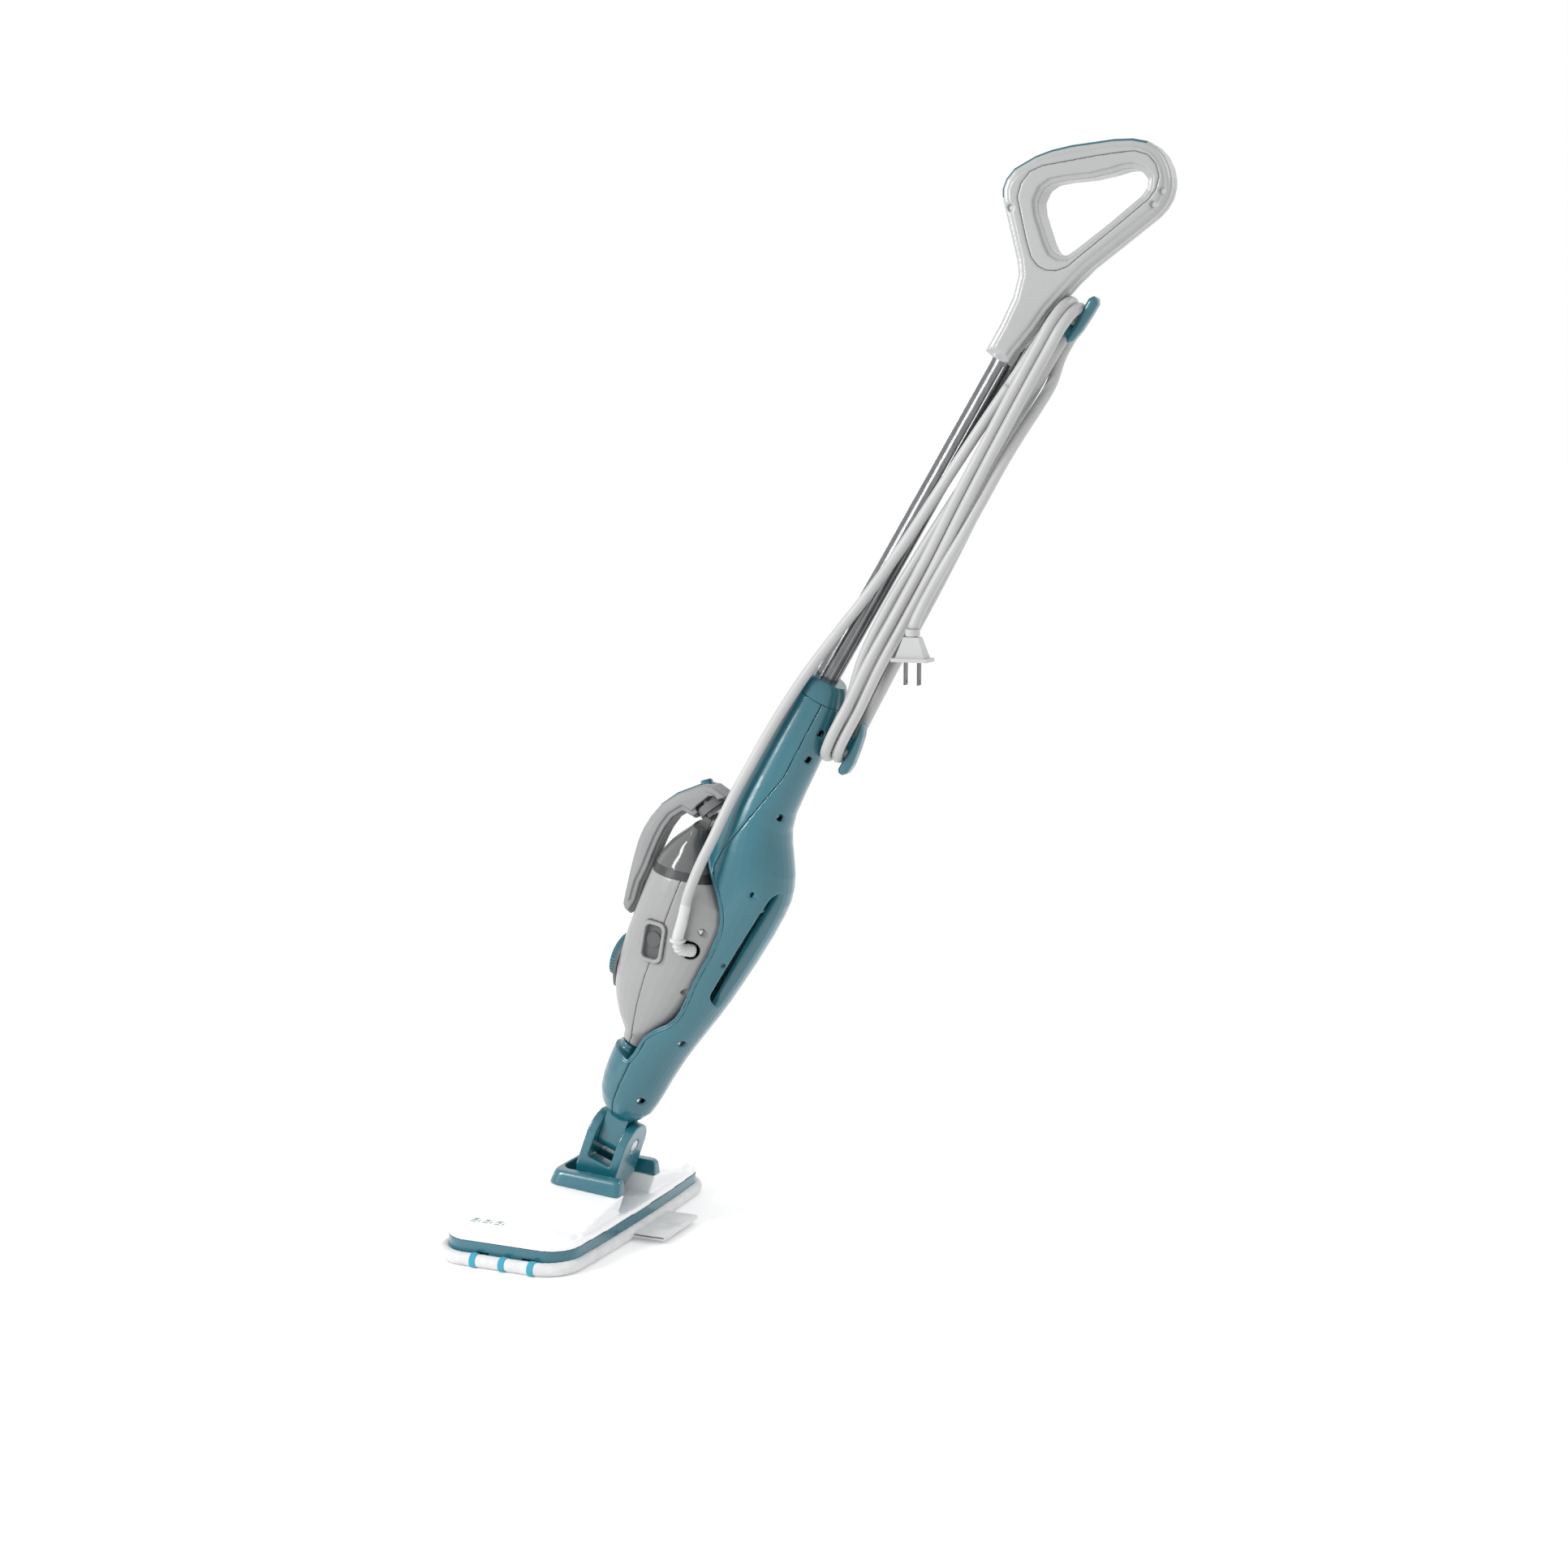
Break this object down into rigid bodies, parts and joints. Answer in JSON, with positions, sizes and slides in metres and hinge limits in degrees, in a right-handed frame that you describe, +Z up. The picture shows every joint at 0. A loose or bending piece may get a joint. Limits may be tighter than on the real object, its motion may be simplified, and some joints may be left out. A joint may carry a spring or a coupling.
{
  "type": "steam mop",
  "caption": "Upright steam mop: floor head with cloth pad, tilting and swivelling mast, lift-out hand steamer with tank, pole, loop handle and wound mains cord.",
  "frame": {"origin": "on the floor at the middle of the underside of the head's pad", "axes": "+Z up, X along the floor head, -Y the front; the mast leans back towards +Y"},
  "size_m": [0.3242, 0.6661, 1.0235],
  "materials": {
    "teal_plastic": "satin moulded plastic",
    "white_plastic": "glossy moulded plastic",
    "grey_plastic": "glossy moulded plastic",
    "dark_plastic": "fine texture",
    "cloth": "woven microfibre",
    "teal_cloth": "woven loop",
    "pole_metal": "dark metallic",
    "steel": "plain",
    "aluminium": "cast",
    "tank_clear": "smoke-tinted clear plastic",
    "rubber_dark": "matt",
    "cord_pvc": "satin",
    "board_green": "solder mask",
    "brass": "plain"
  },
  "bodies": {
    "head": {"head_pad": "cloth", "pad_stripes": "teal_cloth", "pull_tab": "cloth", "steam_plate": "aluminium", "head_base": "teal_plastic", "head_cover": "white_plastic", "head_bezel": "teal_plastic", "steam_mark": "teal_plastic", "tilt_pin": "steel", "head_screws": "steel"},
    "fork": {"fork": "teal_plastic", "swivel_pin": "steel"},
    "mast": {"swivel_tongue": "teal_plastic", "frame_rear": "teal_plastic", "frame_front": "teal_plastic", "frame_collar": "teal_plastic", "frame_screws": "steel", "steam_tube": "white_plastic", "socket_seal": "rubber_dark", "pole": "pole_metal", "pole_pin": "steel", "handle_left": "grey_plastic", "handle_right": "grey_plastic", "handle_insert": "grey_plastic", "handle_trim": "teal_plastic", "handle_screws": "steel", "lower_hook": "teal_plastic", "cord_hank": "cord_pvc", "cord_tail": "cord_pvc", "plug_body": "cord_pvc", "plug_blades": "steel"},
    "upper_hook": {"upper_hook": "teal_plastic"},
    "steamer": {"steamer_rear": "grey_plastic", "steamer_front": "grey_plastic", "steamer_nozzle": "brass", "boiler": "aluminium", "pump": "dark_plastic", "circuit_board": "board_green", "tank_base": "dark_plastic", "tank": "tank_clear", "grip_left": "dark_plastic", "grip_right": "dark_plastic", "grip_strip": "teal_plastic", "trigger_spring": "steel", "dial_plate": "dark_plastic", "button_bezel": "grey_plastic", "button_spring": "steel", "strain_relief": "cord_pvc", "steamer_screws": "steel", "cord_lead": "cord_pvc"},
    "tank_cap": {"tank_cap": "dark_plastic"},
    "steam_dial": {"steam_dial": "teal_plastic", "dial_shaft": "steel"},
    "power_button": {"power_button": "dark_plastic"},
    "steam_trigger": {"steam_trigger": "teal_plastic"}
  },
  "joints": [
    {"name": "head_tilt", "type": "hinge", "parent": "head", "child": "fork", "pos_m": [0, 0.024, 0.044], "axis": [1, 0, 0], "range_deg": [-40, 28]},
    {"name": "head_swivel", "type": "hinge", "parent": "fork", "child": "mast", "pos_m": [0, 0.04179, 0.09286], "axis": [0, 0.9397, -0.342], "range_deg": [-60, 60]},
    {"name": "hook_turn", "type": "hinge", "parent": "mast", "child": "upper_hook", "pos_m": [0, 0.48588, 0.86753], "axis": [0, 0.8616, -0.5075], "range_deg": [0, 180]},
    {"name": "steamer_lift", "type": "slide", "parent": "mast", "child": "steamer", "axis": [0, -0.6361, 0.7716], "range_m": [0, 0.15], "deforming": ["cord_lead"]},
    {"name": "cap_turn", "type": "hinge", "parent": "steamer", "child": "tank_cap", "pos_m": [0, 0.1522, 0.42518], "axis": [0, -0.6157, 0.788], "range_deg": [0, 90]},
    {"name": "dial_turn", "type": "hinge", "parent": "steamer", "child": "steam_dial", "pos_m": [0, 0.06004, 0.27462], "axis": [0, -0.9483, 0.3173], "range_deg": [-135, 135]},
    {"name": "power_press", "type": "slide", "parent": "steamer", "child": "power_button", "axis": [-1, 0, 0], "range_m": [0, 0.0025], "stiffness_N_per_m": 400},
    {"name": "trigger_press", "type": "slide", "parent": "steamer", "child": "steam_trigger", "axis": [0, 0.2504, -0.9681], "range_m": [0, 0.0025], "stiffness_N_per_m": 400}
  ]
}
